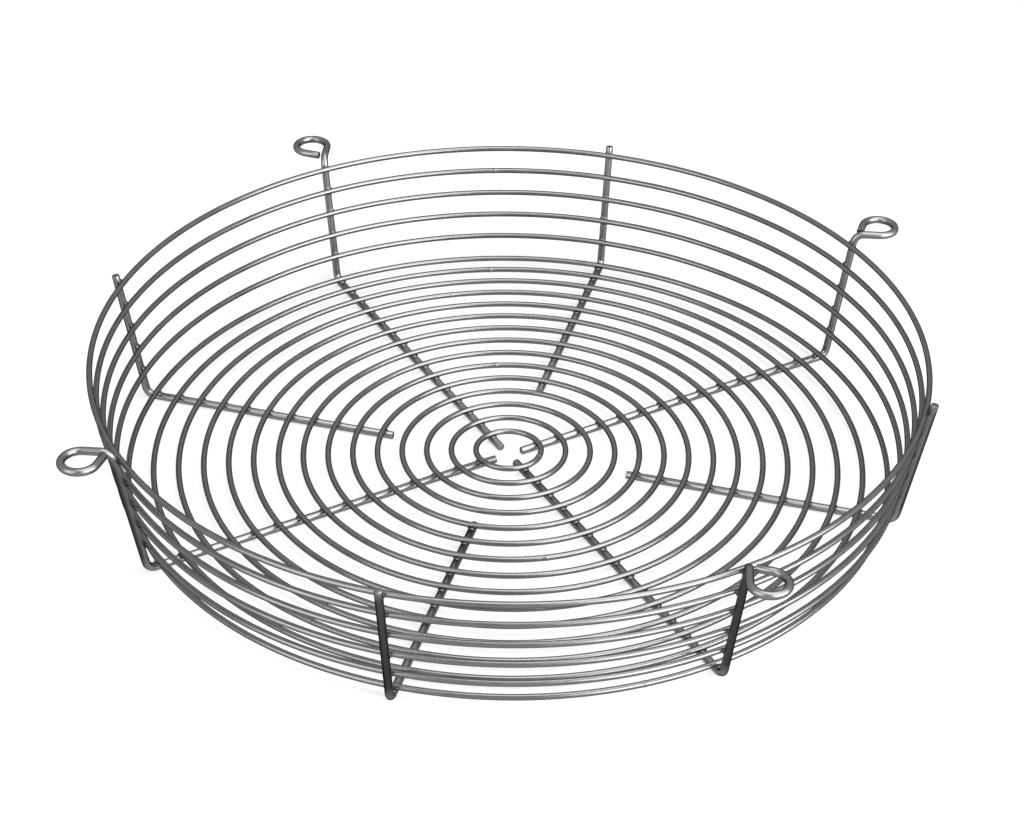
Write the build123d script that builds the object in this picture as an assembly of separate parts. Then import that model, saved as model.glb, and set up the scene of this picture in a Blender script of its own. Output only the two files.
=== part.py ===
from build123d import *
import math
import os

# Axial fan guard: a shallow round basket of steel wire. Nested rings of the thinner wire
# lie inside eight ribs of the thicker wire, and every crossing is resistance welded.
# Four of the ribs run on over the rim and are curled into eyelets for the fixing bolts.
# Frame: origin on the fan's axis at the level that the ribs stand on, +Z out of the open
# side towards the fan, eyelets on +X, +Y, -X and -Y. All lengths are in millimetres.

# Wire stock
ring_wire = 3.0
rib_wire = 4.0
weld_set_down = 0.35  # how far the weld sinks a ring into its rib
cut_end_chamfer = 0.3

# Rings of the flat disc
disc_ring_count = 15
disc_ring_pitch = 12.5
inner_ring_radius = 16.55

# Rings of the leaning wall, the last of them being the rim
wall_ring_count = 5
wall_ring_pitch = 12.8
first_wall_ring_rise = 12.2
wall_lean = 10.0  # degrees outward from the axis

# Joint that closes the wire of each ring, clear of the ribs
ring_joint_bearing = 22.5  # degrees round from an eyelet rib

# Ribs
rib_pairs = 4
rib_bend_radius = 5.0
bend_lead = 1.3  # flat wire between the outermost disc ring and the bend
eyelet_rib_overhang = 9.1  # past the innermost ring, towards the axis
short_rib_overhang = 5.0  # past the ring that it ends on
short_rib_inner_ring = 5
stub_above_rim = 4.0

# Eyelets
eyelet_hole = 13.0
eyelet_reach = 15.3  # from the rib's stem to the middle of the hole
eyelet_neck_radius = 5.5
neck_lead = 0.6165  # rise of the straight wire from the middle of the rim to the neck bend
eyelet_sweep = 256.0  # degrees of full curl
eyelet_tail_gap = 0.5  # from the cut end of the curl to the wire where the curl starts

# Heights and seats that follow from the wires
rib_height = rib_wire / 2
ring_seat = (ring_wire + rib_wire) / 2 - weld_set_down
disc_ring_height = rib_height + ring_seat
outer_disc_ring_radius = inner_ring_radius + (disc_ring_count - 1) * disc_ring_pitch
rim_height = disc_ring_height + first_wall_ring_rise + (wall_ring_count - 1) * wall_ring_pitch
lean = math.radians(wall_lean)

# Where the straight legs of a rib would meet if it weren't bent round
bend_start = outer_disc_ring_radius + bend_lead
rib_corner = bend_start + rib_bend_radius * math.tan((math.pi / 2 - lean) / 2)

# Which way the wire leaves the stem for the curl, and how far the neck bend lifts it over the rim
curl_radius = (eyelet_hole + rib_wire) / 2
neck_heading = math.asin(curl_radius / eyelet_reach)
neck_turn = math.acos(math.sin(lean) * math.cos(neck_heading))
eyelet_above_rim = neck_lead + eyelet_neck_radius * math.tan(neck_turn / 2) * math.cos(lean)

# Angle from one eyelet rib to the next
rib_step = 360 / rib_pairs


def disc_ring_radius(number):
    """Centreline radius of a disc ring, counted from 1 at the middle."""
    return inner_ring_radius + (number - 1) * disc_ring_pitch


def wall_radius(height):
    """How far a rib's centreline is from the axis, on its straight leaning leg."""
    return rib_corner + (height - rib_height) * math.tan(lean)


def round_wire(path, diameter, chamfered_ends=False):
    """A round wire along a smooth path, with its cut ends deburred if asked."""
    section = Plane(origin=path @ 0, z_dir=path % 0) * Circle(diameter / 2)
    wire = sweep(section, path=path)
    if chamfered_ends:
        ends = wire.faces().filter_by(GeomType.PLANE)
        wire = chamfer(ends.edges(), cut_end_chamfer)
    return wire


def ring(radius, height):
    """A ring of the thinner wire, lying level, closed clear of the ribs."""
    return Pos(0, 0, height) * Rot(0, 0, ring_joint_bearing) * Torus(radius, ring_wire / 2)


def make_rings():
    """Every ring by its node name, from the middle of the disc out to the rim."""
    rings = {}
    for number in range(1, disc_ring_count + 1):
        rings[f"disc_ring_{number:02d}"] = ring(disc_ring_radius(number), disc_ring_height)
    for number in range(1, wall_ring_count + 1):
        height = disc_ring_height + first_wall_ring_rise + (number - 1) * wall_ring_pitch
        radius = wall_radius(height) - ring_seat / math.cos(lean)
        name = "rim_ring" if number == wall_ring_count else f"wall_ring_{number}"
        rings[name] = ring(radius, height)
    return rings


def short_rib_path():
    """A plain rib in the XZ plane: across the disc, round the bend and up past the rim."""
    inner_end = disc_ring_radius(short_rib_inner_ring) - short_rib_overhang
    top = rim_height + stub_above_rim
    return FilletPolyline(
        (inner_end, 0, rib_height),
        (rib_corner, 0, rib_height),
        (wall_radius(top), 0, top),
        radius=rib_bend_radius,
    )


def eyelet_rib_path():
    """A rib in the XZ plane that turns level over the rim and curls into an eyelet."""
    inner_end = inner_ring_radius - eyelet_rib_overhang
    level = rim_height + eyelet_above_rim
    stem = wall_radius(level)
    centre = stem + eyelet_reach

    # The wire leaves the stem on the tangent to the curl
    run = math.sqrt(eyelet_reach**2 - curl_radius**2)
    curl_start = Vector(stem + run * math.cos(neck_heading), -run * math.sin(neck_heading), level)
    legs = FilletPolyline(
        (inner_end, 0, rib_height),
        (rib_corner, 0, rib_height),
        (stem, 0, level),
        curl_start,
        radius=(rib_bend_radius, eyelet_neck_radius),
    )
    curl = CenterArc((centre, 0, level), curl_radius, -90 - math.degrees(neck_heading), eyelet_sweep)

    # The tail runs straight on until its cut end is just clear of the wire that left the stem
    away = Vector(math.sin(neck_heading), math.cos(neck_heading), 0)
    from_leg = (curl @ 1 - Vector(stem, 0, level)).dot(away)
    closing = -(curl % 1).dot(away)
    end_dip = rib_wire / 2 * math.sqrt(1 - closing**2)
    tail = (from_leg - rib_wire / 2 - end_dip - eyelet_tail_gap) / closing
    return legs + curl + Line(curl @ 1, curl @ 1 + (curl % 1) * tail)


def make_ribs(rings):
    """The eight ribs by node name, each with a shallow seat where a ring is welded in."""
    seats = list(rings.values())
    eyelet_rib = round_wire(eyelet_rib_path(), rib_wire, chamfered_ends=True) - seats
    short_rib = round_wire(short_rib_path(), rib_wire, chamfered_ends=True) - seats
    ribs = {}
    for number in range(1, rib_pairs + 1):
        turn = (number - 1) * rib_step
        ribs[f"eyelet_rib_{number}"] = Rot(0, 0, turn) * eyelet_rib
        ribs[f"short_rib_{number}"] = Rot(0, 0, turn + rib_step / 2) * short_rib
    return ribs


rings = make_rings()
ribs = make_ribs(rings)

os.makedirs("parts", exist_ok=True)
for name, solid in {**rings, **ribs}.items():
    export_step(solid, f"parts/{name}.step")

bolt_circle = 2 * (wall_radius(rim_height + eyelet_above_rim) + eyelet_reach)
print(f"bolt circle {bolt_circle:.2f}, top of the eyelets {rim_height + eyelet_above_rim + rib_height:.2f}")
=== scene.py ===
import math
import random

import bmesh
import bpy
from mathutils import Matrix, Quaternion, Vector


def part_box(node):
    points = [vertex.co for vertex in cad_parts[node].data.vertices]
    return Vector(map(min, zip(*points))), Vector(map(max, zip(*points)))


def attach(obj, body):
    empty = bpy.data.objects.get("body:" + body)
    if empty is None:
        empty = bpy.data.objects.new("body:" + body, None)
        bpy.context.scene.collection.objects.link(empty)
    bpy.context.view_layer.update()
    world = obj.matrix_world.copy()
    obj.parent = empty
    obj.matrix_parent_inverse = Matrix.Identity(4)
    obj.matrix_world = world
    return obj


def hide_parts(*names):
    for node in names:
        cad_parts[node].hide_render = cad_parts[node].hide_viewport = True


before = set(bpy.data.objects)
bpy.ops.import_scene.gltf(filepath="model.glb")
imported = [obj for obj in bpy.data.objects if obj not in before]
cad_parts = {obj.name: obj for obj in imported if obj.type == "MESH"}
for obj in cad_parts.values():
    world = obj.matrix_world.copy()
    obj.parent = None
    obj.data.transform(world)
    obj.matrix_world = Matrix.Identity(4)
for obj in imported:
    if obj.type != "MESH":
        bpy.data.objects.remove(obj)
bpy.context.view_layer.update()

# %% [markdown]
# # A wire fan guard
#
# The guard is a shallow basket of steel wire that keeps fingers out of a fan. Twenty rings
# of thin wire lie inside eight ribs of thicker wire, and every crossing is welded. The model
# that was just loaded holds every wire at its true size and place. Here each wire is drawn
# again as a finished surface, with its welds and cut ends, and then it is given its metal.
#
# Every length in this file is in metres, unless its line says otherwise.

MM = 0.001
print("nodes loaded:", len(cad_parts))

# %% [markdown]
# ## The camera
#
# The photograph was taken from about a metre and a quarter away, from 34 degrees above the
# horizon, with a long lens that hardly tapers the basket. The camera's place and its small
# roll were measured from the ellipses that the rings make in the picture. A long lens on a
# 36 mm wide sensor gives the same view, so nothing has to be shifted or cropped.

# %% Place the camera
camera_place = Vector((-0.5067, -0.8812, 0.7160))
camera_heading = math.radians(-29.983)  # turned from looking along +Y
camera_elevation = math.radians(34.02)
camera_roll = math.radians(0.81)
sensor_width = 36.0  # this and the next are in millimetres
focal_length = 85.73

camera_data = bpy.data.cameras.new("camera")
camera_data.sensor_width = sensor_width
camera_data.lens = focal_length
camera = bpy.data.objects.new("camera", camera_data)
bpy.context.collection.objects.link(camera)
level_turn = Matrix.Rotation(camera_heading, 4, "Z")
look_down = Matrix.Rotation(math.pi / 2 - camera_elevation, 4, "X")
roll = Matrix.Rotation(camera_roll, 4, "Z")
camera.matrix_world = Matrix.Translation(camera_place) @ level_turn @ look_down @ roll
bpy.context.scene.camera = camera
print("camera stands", round(camera_place.length, 3), "m from the guard's foot")

# %% [markdown]
# ## The floor, the room and the lamps
#
# Bare metal has no colour of its own worth speaking of: what the eye sees is the room, bent
# round each wire. So the floor, the room and the lamps matter as much as the metal.
#
# Each of them, and each metal, is a tree of linked nodes. A few helpers come first, to keep
# such a tree short to write.

# %% Helpers for nodes
def add_node(tree, kind, settings=None, **inputs):
    """Adds one node. A setting is a property. An input is a value or a socket to link from,
    under its name, or under i and its number where several sockets share a name."""
    node = tree.nodes.new(kind)
    for name, value in (settings or {}).items():
        setattr(node, name, value)
    for name, value in inputs.items():
        numbered = name[0] == "i" and name[1:].isdigit()
        socket = node.inputs[int(name[1:]) if numbered else name.replace("_", " ")]
        if isinstance(value, bpy.types.NodeSocket):
            tree.links.new(value, socket)
        else:
            socket.default_value = value
    return node


def colour(code):
    """An sRGB hex code as the linear colour that a shader needs, by the curve of that standard."""
    channels = [int(code[i:i + 2], 16) / 255 for i in (1, 3, 5)]
    linear = [c / 12.92 if c <= 0.04045 else ((c + 0.055) / 1.055) ** 2.4 for c in channels]
    return (*linear, 1.0)


def new_material(name):
    """An empty node material, its tree and its output node."""
    material = bpy.data.materials.new(name)
    material.use_nodes = True
    tree = material.node_tree
    tree.nodes.clear()
    return material, tree, tree.nodes.new("ShaderNodeOutputMaterial")


def seen_or_mirrored(tree):
    """A socket that gives 1 to the camera's rays and to mirrored ones, and 0 to the others."""
    rays = add_node(tree, "ShaderNodeLightPath").outputs
    seen = add_node(tree, "ShaderNodeMath", {"operation": "MAXIMUM"},
                    i0=rays["Is Camera Ray"], i1=rays["Is Glossy Ray"])
    either = add_node(tree, "ShaderNodeMath", {"operation": "MAXIMUM"},
                      i0=seen.outputs[0], i1=rays["Is Transmission Ray"])
    return either.outputs[0]


plain_white = colour("#FFFFFF")
print("helpers ready, white is", plain_white)

# %% [markdown]
# The floor is a large pale sheet. The photograph has hardly any shadow, so most of what the
# camera and the metal see of the floor is plain white light. The rest is matt paint, and it
# holds the guard's soft shadow.

# %% The pale floor
floor_width = 60.0
floor_white = "#F0F0F0"
floor_evenness = 0.65  # the share of plain white in what the camera and the metal see of it

bpy.ops.object.select_all(action="DESELECT")
bpy.ops.mesh.primitive_plane_add(size=floor_width, location=(0, 0, 0))
floor = bpy.context.object
floor.name = "floor"
material, tree, output = new_material("pale_matt_floor")
matt = add_node(tree, "ShaderNodeBsdfDiffuse", Color=colour(floor_white))
plain = add_node(tree, "ShaderNodeEmission", Color=plain_white, Strength=1.0)
share = add_node(tree, "ShaderNodeMath", {"operation": "MULTIPLY"},
                 i0=seen_or_mirrored(tree), i1=floor_evenness)
blend = add_node(tree, "ShaderNodeMixShader",
                 i0=share.outputs[0], i1=matt.outputs[0], i2=plain.outputs[0])
tree.links.new(blend.outputs[0], output.inputs["Surface"])
floor.data.materials.append(material)
print("floor is", floor_width, "m wide")

# %% [markdown]
# The room is white for the camera and for what the metal mirrors. As a light on the floor it
# is dimmer. Otherwise it would fill the shadow from every side, and there would be none.

# %% The room's own light
room_white = 1.0
room_fill = 0.4

world = bpy.data.worlds.new("room")
bpy.context.scene.world = world
world.use_nodes = True
tree = world.node_tree
tree.nodes.clear()
level = add_node(tree, "ShaderNodeMapRange", Value=seen_or_mirrored(tree),
                 To_Min=room_fill, To_Max=room_white)
background = add_node(tree, "ShaderNodeBackground", Color=plain_white, Strength=level.outputs[0])
output = tree.nodes.new("ShaderNodeOutputWorld")
tree.links.new(background.outputs[0], output.inputs["Surface"])
print("the room lights the floor at", room_fill, "of the white that is seen")

# %% [markdown]
# In the photograph a wire shows a white core where it faces a soft box on the right, a
# fainter one for a second box on the left, and a pale band on top from a third overhead.
# Everything else that it mirrors is even. So there are three rectangular lamps, each aimed
# at the middle of the guard.

# %% The soft boxes
guard_middle = Vector((0, 0, 0.03))


def soft_box(name, bearing, elevation, distance, width, height, power):
    """A lamp of so many watts. The bearing is counted from the camera's side towards its
    right, and the elevation from the floor, both in degrees."""
    data = bpy.data.lights.new(name, "AREA")
    data.shape = "RECTANGLE"
    data.size, data.size_y = width, height
    data.energy = power
    lamp = bpy.data.objects.new(name, data)
    bpy.context.collection.objects.link(lamp)
    turn = math.radians(bearing) + camera_heading
    up = math.radians(elevation)
    away = Vector((math.sin(turn) * math.cos(up), -math.cos(turn) * math.cos(up), math.sin(up)))
    lamp.location = guard_middle + distance * away
    lamp.rotation_mode = "QUATERNION"
    lamp.rotation_quaternion = away.to_track_quat("Z", "Y")
    return lamp


lamps = [
    soft_box("right_box", bearing=51, elevation=22, distance=1.7, width=1.9, height=1.4, power=65),
    soft_box("left_box", bearing=-46, elevation=25, distance=1.7, width=1.1, height=1.5, power=19),
    soft_box("top_box", bearing=65, elevation=76, distance=1.5, width=1.3, height=1.3, power=23),
]
bpy.context.scene.view_settings.view_transform = "Standard"
print("lamps:", [lamp.name for lamp in lamps])

# %% [markdown]
# ## The metal
#
# Both wires are low-carbon steel, drawn through a die, welded up and then plated with zinc
# as one piece. Fresh zinc is a satin grey metal. Its base colour is what it mirrors of white
# light. The base colours here are darker than fresh zinc: painted shade for the darker room
# that the real wire mirrors. The rib wire is a little lighter than the ring wire: painted
# light that lifts the ribs out of the shade of the rings that lie over them. The colour at a
# slant is held down, so that each round wire has a dark outline: partly the plating's own
# dip at a slant, partly painted shade for the dark surroundings that the real wire mirrors
# there. That dark outline is what makes the guard stand out on white.
#
# Two patterns break the evenness. Slow clouds change the tone and the shine where the
# plating is thicker, and a fine grain from the bath roughens it. Both are read from the
# object's own coordinates, so they stay put from every side. The real grain is finer than a
# pixel, so it is drawn at half a millimetre to show at all.

# %% Zinc-plated steel
cloud_size = 14 * MM
cloud_range = 0.3, 0.7  # nearly all of the noise lies between these
shinier, duller = -0.04, 0.05  # what the clouds add to the roughness, at either end
grain_size = 0.5 * MM
grain_depth = 0.02 * MM
grain_strength = 0.045


def zinc_plated_steel(name, dark, light, roughness, slant, painted_shade=None):
    """Satin zinc on drawn steel wire, mixed towards another colour, a painted shade, where the mesh is
    marked.
    """
    material, tree, output = new_material(name)
    place = add_node(tree, "ShaderNodeTexCoord").outputs["Object"]
    clouds = add_node(tree, "ShaderNodeTexNoise", Vector=place, Scale=1 / cloud_size, Detail=3.0)
    grain = add_node(tree, "ShaderNodeTexNoise", Vector=place, Scale=1 / grain_size, Detail=2.0)

    # On a node that mixes colours, 6 and 7 are the two colours and output 2 is their mix
    tone = add_node(tree, "ShaderNodeMix", {"data_type": "RGBA"}, Factor=clouds.outputs["Fac"],
                    i6=colour(dark), i7=colour(light))
    # Where the mesh carries the mark, the colour is mixed towards a painted shade.
    if painted_shade:
        marks = add_node(tree, "ShaderNodeAttribute", {"attribute_name": "painted_shade"})
        tone = add_node(tree, "ShaderNodeMix", {"data_type": "RGBA"}, Factor=marks.outputs["Fac"],
                        i6=tone.outputs[2], i7=colour(painted_shade))
    shine = add_node(tree, "ShaderNodeMapRange", Value=clouds.outputs["Fac"],
                     From_Min=cloud_range[0], From_Max=cloud_range[1],
                     To_Min=roughness + shinier, To_Max=roughness + duller)
    bump = add_node(tree, "ShaderNodeBump", Strength=grain_strength, Distance=grain_depth,
                    Height=grain.outputs["Fac"])
    shader = add_node(tree, "ShaderNodeBsdfPrincipled", Base_Color=tone.outputs[2], Metallic=1.0,
                      Roughness=shine.outputs[0], Normal=bump.outputs[0],
                      Specular_Tint=(slant, slant, slant, 1.0))
    tree.links.new(shader.outputs[0], output.inputs["Surface"])
    return material


# The base colours are painted shade for a darker room. The rib wire's lighter pair is painted light
# against the shade of the rings, and its third colour is painted shade for the legs.
ring_metal = zinc_plated_steel("zinc_plated_ring_wire", "#646464", "#717171", roughness=0.24, slant=0.2)
rib_metal = zinc_plated_steel("zinc_plated_rib_wire", "#747474", "#828282", roughness=0.28, slant=0.2,
                              painted_shade="#393939")
weld_metal = zinc_plated_steel("zinc_plated_weld", "#4A4A4A", "#666666", roughness=0.34, slant=0.15)
print("metals:", [m.name for m in (ring_metal, rib_metal, weld_metal)])

# %% [markdown]
# ## Working in edit mode
#
# An operator acts on whatever is selected. So before each one, everything is deselected, and
# the vertices or faces that it should act on are picked, most often by where they are.
#
# A finished piece is one closed skin with its faces turned outwards, which is checked before
# it is given its metal.

# %% Helpers for selection and for finishing a piece
merge_distance = 0.001 * MM


def pick(test, kind="VERT"):
    """In edit mode, selects the vertices or the faces whose middle passes the test."""
    bpy.ops.mesh.select_all(action="DESELECT")
    bpy.ops.mesh.select_mode(type=kind)
    mesh = bmesh.from_edit_mesh(bpy.context.object.data)
    for item in (mesh.verts if kind == "VERT" else mesh.faces):
        if kind == "VERT":
            middle = item.co
        else:
            middle = sum((v.co for v in item.verts), Vector()) / len(item.verts)
        if test(middle):
            item.select_set(True)
    mesh.select_flush_mode()
    bmesh.update_edit_mesh(bpy.context.object.data)


def close_up(piece, smooth_angle=35):
    """Merges doubles, turns the faces outwards, shades them smoothly and returns the volume."""
    bpy.ops.object.mode_set(mode="EDIT")
    bpy.ops.mesh.select_all(action="SELECT")
    bpy.ops.mesh.remove_doubles(threshold=merge_distance)
    bpy.ops.mesh.normals_make_consistent(inside=False)
    bpy.ops.object.mode_set(mode="OBJECT")
    bpy.ops.object.shade_smooth_by_angle(angle=math.radians(smooth_angle))
    mesh = bmesh.new()
    mesh.from_mesh(piece.data)
    open_edges = sum(len(edge.link_faces) != 2 for edge in mesh.edges)
    volume = mesh.calc_volume(signed=True)
    mesh.free()
    if open_edges or volume <= 0:
        raise RuntimeError(f"{piece.name}: {open_edges} open edges, volume {volume}")
    return volume


def dress(piece, metal, slot, *nodes):
    """Gives a finished piece its metal and its body, and hides the loaded nodes that it stands for."""
    piece.data.materials.clear()
    piece.data.materials.append(metal)
    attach(piece, "root")
    if nodes:
        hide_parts(*nodes)


print("vertices nearer than", merge_distance / MM, "mm become one")

# %% [markdown]
# ## The rings
#
# A ring is cut from a coil of drawn wire, rolled round, and its two ends are butted and
# welded. It could be a curve with a round bevel, but a torus is closed from the start and
# its size is set by two radii, which the loaded model gives: the box of each ring is as wide
# as the ring and as high as its wire.

# %% Read the rings from the model
RING_NAMES = [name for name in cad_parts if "ring" in name]


def ring_size(name):
    """Centreline radius, height and wire radius of a ring, from its box."""
    low, high = (Vector(corner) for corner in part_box(name))
    wire = (high.z - low.z) / 2
    return high.x - wire, (high.z + low.z) / 2, wire


print("rings:", len(RING_NAMES), "from", [round(v / MM, 2) for v in ring_size("disc_ring_01")],
      "to", [round(v / MM, 2) for v in ring_size("rim_ring")])

# %% [markdown]
# The butt welds that the photograph shows are put where it shows them. The others are hidden
# or too faint to see, so they are spread by a fixed step from ring to ring.

# %% Where each ring is butt welded
SEEN_SEAMS = {"disc_ring_01": 308, "disc_ring_06": 65.5, "disc_ring_07": 252, "disc_ring_14": 64,
              "disc_ring_15": 259, "wall_ring_1": 264, "wall_ring_2": 129, "wall_ring_4": 63}
seam_step = 137.5  # this and the places above are in degrees round from +X
seam_azimuth = {name: math.radians(SEEN_SEAMS.get(name, seam_step * number))
                for number, name in enumerate(RING_NAMES)}
print("seams placed by the photograph:", len(SEEN_SEAMS))

# %% [markdown]
# A butt weld shows as a short swelling with a seam at its crest, and the ends never meet
# quite true. So the torus is cut across beside the seam by bisecting it with planes through
# the axis, and the new loops are swelled and pushed a little to one side. Where no weld is
# seen in the photograph the collar is fainter.

# %% Model one ring
segment_length = 3.2 * MM
fewest_segments = 72
round_segments = 16
seam_loops = (-1.1, -0.6, -0.3, 0.0, 0.3, 0.6, 1.1)  # millimetres from the seam
seam_reach = 3 * MM  # only what is this near the seam is worked on
plane_slack = 0.01 * MM  # how far off a plane a vertex may lie and still count as on it
collar_groove = 0.02  # of the wire's radius, at the crest
seen_collar = 0.09, 0.12 * MM  # swell of the wire's radius, and greatest step between its ends
faint_collar = 0.03, 0.04 * MM
chance = random.Random(7)  # seeded, so that each run gives the same small accidents


def make_ring(name):
    """A closed ring of wire with the collar and the small step of its butt weld."""
    radius, height, wire = ring_size(name)
    segments = max(fewest_segments, round(2 * math.pi * radius / segment_length))
    bpy.ops.object.select_all(action="DESELECT")
    bpy.ops.mesh.primitive_torus_add(location=(0, 0, height), major_radius=radius, minor_radius=wire,
                                     major_segments=segments, minor_segments=round_segments)
    piece = bpy.context.object
    piece.name = name + "_wire"
    bpy.ops.object.transform_apply(location=True, rotation=True, scale=True)

    azimuth = seam_azimuth[name]
    collar_swell, butt_step = seen_collar if name in SEEN_SEAMS else faint_collar
    outward = Vector((math.cos(azimuth), math.sin(azimuth), 0))
    along = Vector((-math.sin(azimuth), math.cos(azimuth), 0))
    seam = radius * outward + Vector((0, 0, height))
    step = Vector((chance.uniform(-1, 1), chance.uniform(-1, 1))) * butt_step
    shift = step.x * outward + Vector((0, 0, step.y))
    bpy.ops.object.mode_set(mode="EDIT")
    for offset in seam_loops:
        pick(lambda p: (p - seam).length < 2 * seam_reach, "FACE")
        bpy.ops.mesh.bisect(plane_co=seam + offset * MM * along, plane_no=along)
    for offset in seam_loops:
        nearness = 1 - abs(offset) / max(seam_loops)
        swell = 1 + collar_swell * nearness - (collar_groove if offset == 0 else 0)
        middle = seam + offset * MM * along
        pick(lambda p: (p - seam).length < seam_reach and abs((p - middle).dot(along)) < plane_slack)
        bpy.ops.transform.resize(value=(swell,) * 3, center_override=middle)
        bpy.ops.transform.translate(value=shift * nearness * (1 if offset < 0 else -1))
    bpy.ops.object.mode_set(mode="OBJECT")
    close_up(piece)
    return piece


rings = {name: make_ring(name) for name in RING_NAMES}
for name, piece in rings.items():
    dress(piece, ring_metal, "ring_wire", name)
print("faces in the smallest and largest ring:", len(rings["disc_ring_01"].data.polygons),
      len(rings["rim_ring"].data.polygons))

# %% [markdown]
# ## The ribs
#
# A rib is cut to length from thicker wire and bent cold on pins. The same steps make it here.
# It starts as a filled circle, the sawn end. The end face is extruded for each straight run
# and spun round a centre for each bend, so the wire keeps its section all the way. Blender's
# spin turns the opposite way to a right-hand screw along its axis, so the angle is negated.

# %% The bender: straight runs and bends
rib_wire = 4.0 * MM
rib_radius = rib_wire / 2
rib_sides = 20


class Bender:
    """Feeds out wire from a sawn end, in edit mode, and keeps its place and heading."""

    def __init__(self, name, place, heading):
        bpy.ops.object.select_all(action="DESELECT")
        bpy.ops.mesh.primitive_circle_add(vertices=rib_sides, radius=rib_radius, fill_type="NGON",
                                          location=place, rotation=(0, math.pi / 2, 0))
        bpy.context.object.name = name
        bpy.ops.object.transform_apply(location=True, rotation=True, scale=True)
        bpy.ops.object.mode_set(mode="EDIT")
        bpy.ops.mesh.select_mode(type="FACE")
        bpy.ops.mesh.select_all(action="SELECT")
        self.place, self.heading = Vector(place), Vector(heading)

    def feed(self, length):
        """Extrudes the end face straight ahead."""
        bpy.ops.mesh.extrude_region_move(TRANSFORM_OT_translate={"value": self.heading * length})
        self.place = self.place + self.heading * length

    def bend(self, axis, radius, angle, degrees_a_step=6):
        """Bends by a right-handed angle about an axis square to the heading."""
        towards = axis.cross(self.heading)
        centre = self.place + towards * radius
        steps = max(2, round(math.degrees(angle) / degrees_a_step))
        bpy.ops.mesh.spin(steps=steps, angle=-angle, center=centre, axis=axis)
        turn = Quaternion(axis, angle)
        self.place = centre + turn @ (self.place - centre)
        self.heading = turn @ self.heading

    def cut(self):
        """Leaves edit mode and returns the wire."""
        bpy.ops.object.mode_set(mode="OBJECT")
        return bpy.context.object


print("rib wire is", rib_wire / MM, "mm thick, with", rib_sides, "sides")

# %% [markdown]
# The rib runs out over the disc, turns up into the wall with a lean of ten degrees, and ends
# just above the rim. In four of the eight the wire goes on: it turns level, and curls round
# into the eyelet that takes a fixing bolt. One rib of each kind is bent, out along +X.

# %% Bend the two kinds of rib
disc_edge = ring_size("disc_ring_15")[0]
rim_height = ring_size("rim_ring")[1]
short_rib_first_ring = 5
short_rib_overhang = 5.0 * MM  # past the ring that it ends on
eyelet_rib_overhang = 9.1 * MM  # past the innermost ring, towards the axis
bend_lead = 1.3 * MM
rib_bend = 5.0 * MM
wall_lean = math.radians(10)
stub_above_rim = 4.0 * MM
eyelet_above_rim = 5.3 * MM
eyelet_neck = 5.5 * MM
eyelet_hole = 13.0 * MM
eyelet_reach = 15.3 * MM
eyelet_sweep = math.radians(256)
eyelet_tail_gap = 0.5 * MM
end_bevel = 0.3 * MM
steel_density = 7.85e6  # grams in a cubic metre

# The mark on the legs named below is painted shade.
leg_steps = (0.08, 0.84, 0.08)  # of the leg's length: the vertices near its ends carry the dull mark
bend_start = disc_edge + bend_lead
corner = bend_start + rib_bend * math.tan((math.pi / 2 - wall_lean) / 2)


def up_the_wall(bender, top):
    """Feeds across the disc, bends up and feeds along the wall to a height."""
    bender.feed(bend_start - bender.place.x)
    bender.bend(Vector((0, -1, 0)), rib_bend, math.pi / 2 - wall_lean)
    leg = (top - bender.place.z) / math.cos(wall_lean)
    for share in leg_steps:
        bender.feed(leg * share)


def bend_short_rib():
    """A plain rib, cut off just above the rim."""
    inner_end = ring_size(f"disc_ring_{short_rib_first_ring:02d}")[0] - short_rib_overhang
    bender = Bender("short_rib", (inner_end, 0, rib_radius), (1, 0, 0))
    up_the_wall(bender, rim_height + stub_above_rim)
    return bender.cut()


def bend_eyelet_rib():
    """A rib whose wire goes on over the rim and curls into an eyelet."""
    inner_end = ring_size("disc_ring_01")[0] - eyelet_rib_overhang
    bender = Bender("eyelet_rib", (inner_end, 0, rib_radius), (1, 0, 0))

    # The neck bend leads from the leaning wall to a level line that is tangent to the curl
    level = rim_height + eyelet_above_rim
    stem = corner + (level - rib_radius) * math.tan(wall_lean)
    curl = eyelet_hole / 2 + rib_radius
    leave = math.asin(curl / eyelet_reach)
    flat = Vector((math.cos(leave), -math.sin(leave), 0))
    wall = Vector((math.sin(wall_lean), 0, math.cos(wall_lean)))
    turn = wall.angle(flat)
    trim = eyelet_neck * math.tan(turn / 2)
    up_the_wall(bender, level - trim * math.cos(wall_lean))
    bender.bend(wall.cross(flat).normalized(), eyelet_neck, turn)
    bender.feed(math.sqrt(eyelet_reach ** 2 - curl ** 2) - trim)
    bender.bend(Vector((0, 0, 1)), curl, eyelet_sweep)

    # The straight tail stops just short of the wire that left the stem
    away = Vector((math.sin(leave), math.cos(leave), 0))
    closing = -bender.heading.dot(away)
    to_leg = (bender.place - Vector((stem, 0, level))).dot(away)
    end_dip = rib_radius * math.sqrt(1 - closing ** 2)
    bender.feed((to_leg - rib_radius - end_dip - eyelet_tail_gap) / closing)
    print("eyelet ends at", [round(v / MM, 2) for v in bender.place])
    return bender.cut()


def trim_ends(piece):
    """Takes the sharp edge off both sawn ends, the only faces with as many sides as the wire."""
    bpy.context.view_layer.objects.active = piece
    bpy.ops.object.mode_set(mode="EDIT")
    bpy.ops.mesh.select_all(action="DESELECT")
    bpy.ops.mesh.select_mode(type="FACE")
    mesh = bmesh.from_edit_mesh(piece.data)
    for face in mesh.faces:
        face.select_set(len(face.verts) == rib_sides)
    bmesh.update_edit_mesh(piece.data)
    bpy.ops.mesh.bevel(offset=end_bevel, segments=2, affect="EDGES")
    bpy.ops.object.mode_set(mode="OBJECT")


eyelet_rib = bend_eyelet_rib()
trim_ends(eyelet_rib)
print("eyelet rib weighs", round(close_up(eyelet_rib) * steel_density, 1), "g")
short_rib = bend_short_rib()
trim_ends(short_rib)
print("short rib weighs", round(close_up(short_rib) * steel_density, 1), "g")
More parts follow.
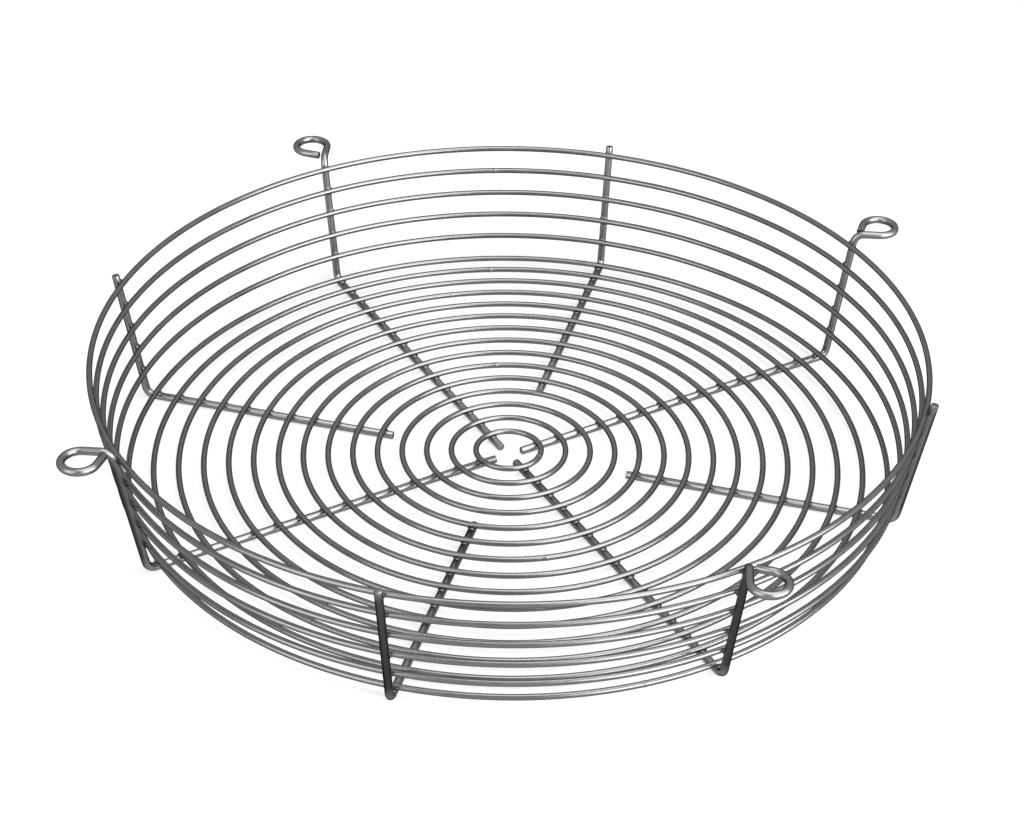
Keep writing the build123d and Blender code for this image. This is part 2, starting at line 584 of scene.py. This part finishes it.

# %% [markdown]
# The sides of the legs that face outwards look dark, while their inner sides stay bright, and
# the eyelets are nearly as bright. That dark is painted shade: the real legs mirror dark ground
# close in front of them, and this floor is white. So each vertex of a rib stores how much
# painted shade it takes, between 0 and 1, and the metal reads that mark for its colour.

# %% Mark the painted shade on the outer side of the legs
leg_foot = 8.0 * MM  # the mark fades in over this height, and out again at the top
leg_top = 66.0 * MM
# How much painted shade the eyelets take.
eyelet_painted_shade = 0.22
unshaded_below, fully_shaded_above = -0.125, 0.375  # of the X of a vertex's normal


def from_0_to_1(value):
    """The value, held between 0 and 1."""
    return min(max(value, 0), 1)


def mark_painted_shade(piece):
    """Stores for each vertex how much painted shade it takes: more as it faces outwards on the leg, and
    a little on the eyelet.
    """
    marks = piece.data.attributes.new("painted_shade", "FLOAT", "POINT")
    for vertex, mark in zip(piece.data.vertices, marks.data):
        on_leg = from_0_to_1((vertex.co.z - rib_radius) / leg_foot) if vertex.co.x > disc_edge else 0
        below_eyelet = from_0_to_1((leg_top + leg_foot - vertex.co.z) / leg_foot)
        facing = from_0_to_1((vertex.normal.x - unshaded_below) / (fully_shaded_above - unshaded_below))
        mark.value = on_leg * (below_eyelet * facing + (1 - below_eyelet) * eyelet_painted_shade)


for piece in (eyelet_rib, short_rib):
    mark_painted_shade(piece)
# These marks are painted shade.
print("dull marks run from", leg_foot / MM, "to", leg_top / MM, "mm up the legs")

# %% [markdown]
# ## The welds
#
# Every crossing is welded by clamping the two wires between electrodes and passing a heavy
# current. The wires sink into each other, and soft metal is squeezed out into the four
# corners between them, with a thin frozen lip. One bead is modelled from a flattened sphere
# whose middle faces are drawn out into that lip.

# %% Model one bead
bead_along_rib = 2.35 * MM  # these three are from the middle of the bead to its skin
bead_along_ring = 2.05 * MM
bead_thick = 0.8 * MM
bead_segments, bead_rows = 14, 8
lip = 1.12  # how far it is drawn out, as a share of the bead
lip_edge = 0.12 * MM


def make_bead():
    """The metal squeezed out at one crossing, flat in the XY plane."""
    bpy.ops.object.select_all(action="DESELECT")
    bpy.ops.mesh.primitive_uv_sphere_add(segments=bead_segments, ring_count=bead_rows, radius=1.0,
                                         scale=(bead_along_rib, bead_along_ring, bead_thick))
    bead = bpy.context.object
    bead.name = "weld_bead"
    bpy.ops.object.transform_apply(location=True, rotation=True, scale=True)
    bpy.ops.object.mode_set(mode="EDIT")
    pick(lambda p: abs(p.z) < plane_slack)
    bpy.ops.mesh.bevel(offset=lip_edge, segments=2, affect="EDGES")
    pick(lambda p: abs(p.z) < plane_slack)
    bpy.ops.transform.resize(value=(lip, lip, 1))
    bpy.ops.object.mode_set(mode="OBJECT")
    close_up(bead, smooth_angle=60)
    return bead


bead = make_bead()
print("faces in a bead:", len(bead.data.polygons))

# %% [markdown]
# The bead is copied to each crossing of a rib, a little larger or smaller and turned a little
# each time, and the copies are joined. On the disc the rings lie on top of the rib. On the
# wall they lie inside it, so there the bead is tilted with the wall.

# %% Copy it to the crossings
set_down = 0.35 * MM  # how far the weld sinks a ring into its rib
bead_sizes = 0.82, 1.12  # of the bead's own size, each way
bead_turn = 0.3  # radians to either side


def crossing(name):
    """Where a rib in the XZ plane meets a ring, and the direction from the rib to the ring."""
    radius, height, wire = ring_size(name)
    on_wall = name.startswith(("wall", "rim"))
    press = Vector((-math.cos(wall_lean), 0, math.sin(wall_lean))) if on_wall else Vector((0, 0, 1))
    return Vector((radius, 0, height)) - press * (wire - set_down / 2), press


def weld_rib(name, ring_names):
    """One object with the bead of every crossing of a rib in the XZ plane."""
    beads = []
    for ring_name in ring_names:
        place, press = crossing(ring_name)
        grow = [chance.uniform(*bead_sizes) for _ in range(3)]
        turn = Matrix.Rotation(chance.uniform(-bead_turn, bead_turn), 4, "Z")
        copy = bead.copy()
        copy.data = bead.data.copy()
        bpy.context.collection.objects.link(copy)
        upright = Matrix.Rotation(-math.atan2(-press.x, press.z), 4, "Y")
        copy.data.transform(Matrix.Translation(place) @ upright @ turn @ Matrix.Diagonal((*grow, 1)))
        beads.append(copy)
    bpy.ops.object.select_all(action="DESELECT")
    for copy in beads:
        copy.select_set(True)
    bpy.context.view_layer.objects.active = beads[0]
    bpy.ops.object.join()
    beads[0].name = name
    return beads[0]


inside_short_ribs = [f"disc_ring_{number:02d}" for number in range(1, short_rib_first_ring)]
short_crossings = [name for name in RING_NAMES if name not in inside_short_ribs]
eyelet_welds = weld_rib("eyelet_rib_welds", RING_NAMES)
short_welds = weld_rib("short_rib_welds", short_crossings)
print("crossings on the two kinds of rib:", len(RING_NAMES), len(short_crossings))

# %% [markdown]
# Each rib and its welds are copied to the four places of their kind, a quarter of a turn
# apart, with the short ribs half way between the long ones. Then the patterns are removed.

# %% Turn the ribs and their welds to their places
rib_pairs = 4
rib_step = 360 / rib_pairs


def turned_copy(piece, name, azimuth):
    """A copy of a piece, turned about the fan's axis."""
    copy = piece.copy()
    copy.data = piece.data.copy()
    copy.name = copy.data.name = name
    bpy.context.collection.objects.link(copy)
    copy.data.transform(Matrix.Rotation(azimuth, 4, "Z"))
    return copy


for number in range(1, rib_pairs + 1):
    azimuth = math.radians(rib_step * (number - 1))
    for kind, rib, welds, offset in (("eyelet", eyelet_rib, eyelet_welds, 0),
                                     ("short", short_rib, short_welds, math.radians(rib_step / 2))):
        node = f"{kind}_rib_{number}"
        dress(turned_copy(rib, node + "_wire", azimuth + offset), rib_metal, "rib_wire", node)
        dress(turned_copy(welds, node + "_welds", azimuth + offset), weld_metal, "rib_wire")
for pattern in (eyelet_rib, short_rib, eyelet_welds, short_welds, bead):
    bpy.data.objects.remove(pattern)
